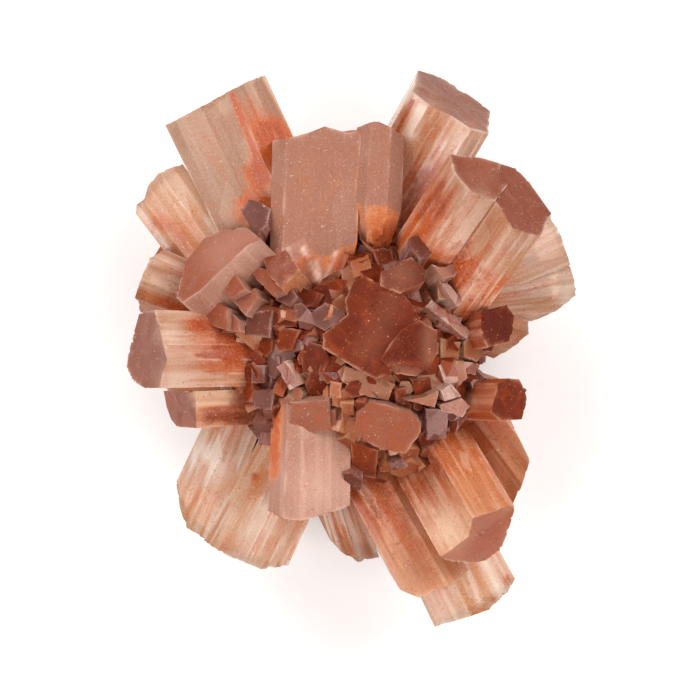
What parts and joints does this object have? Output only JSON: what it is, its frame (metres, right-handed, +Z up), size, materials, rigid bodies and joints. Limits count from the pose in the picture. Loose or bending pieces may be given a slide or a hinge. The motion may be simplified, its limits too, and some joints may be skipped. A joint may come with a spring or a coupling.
{
  "type": "aragonite cluster",
  "caption": "Radiating mineral cluster of brown-orange, partly clear six-sided prisms with flat ends, grown together around a patch of small crystals.",
  "frame": {"origin": "on the surface that the cluster rests on, under the middle of its outline", "axes": "+Z up, away from the surface; +Y along the longest extent, towards the two long crystals at the top of the picture; +X to the picture's right"},
  "size_m": [0.045, 0.0557, 0.0327],
  "materials": {
    "aragonite": "satin, partly clear"
  },
  "bodies": {
    "root": {"aragonite_cluster": "aragonite"}
  },
  "joints": []
}
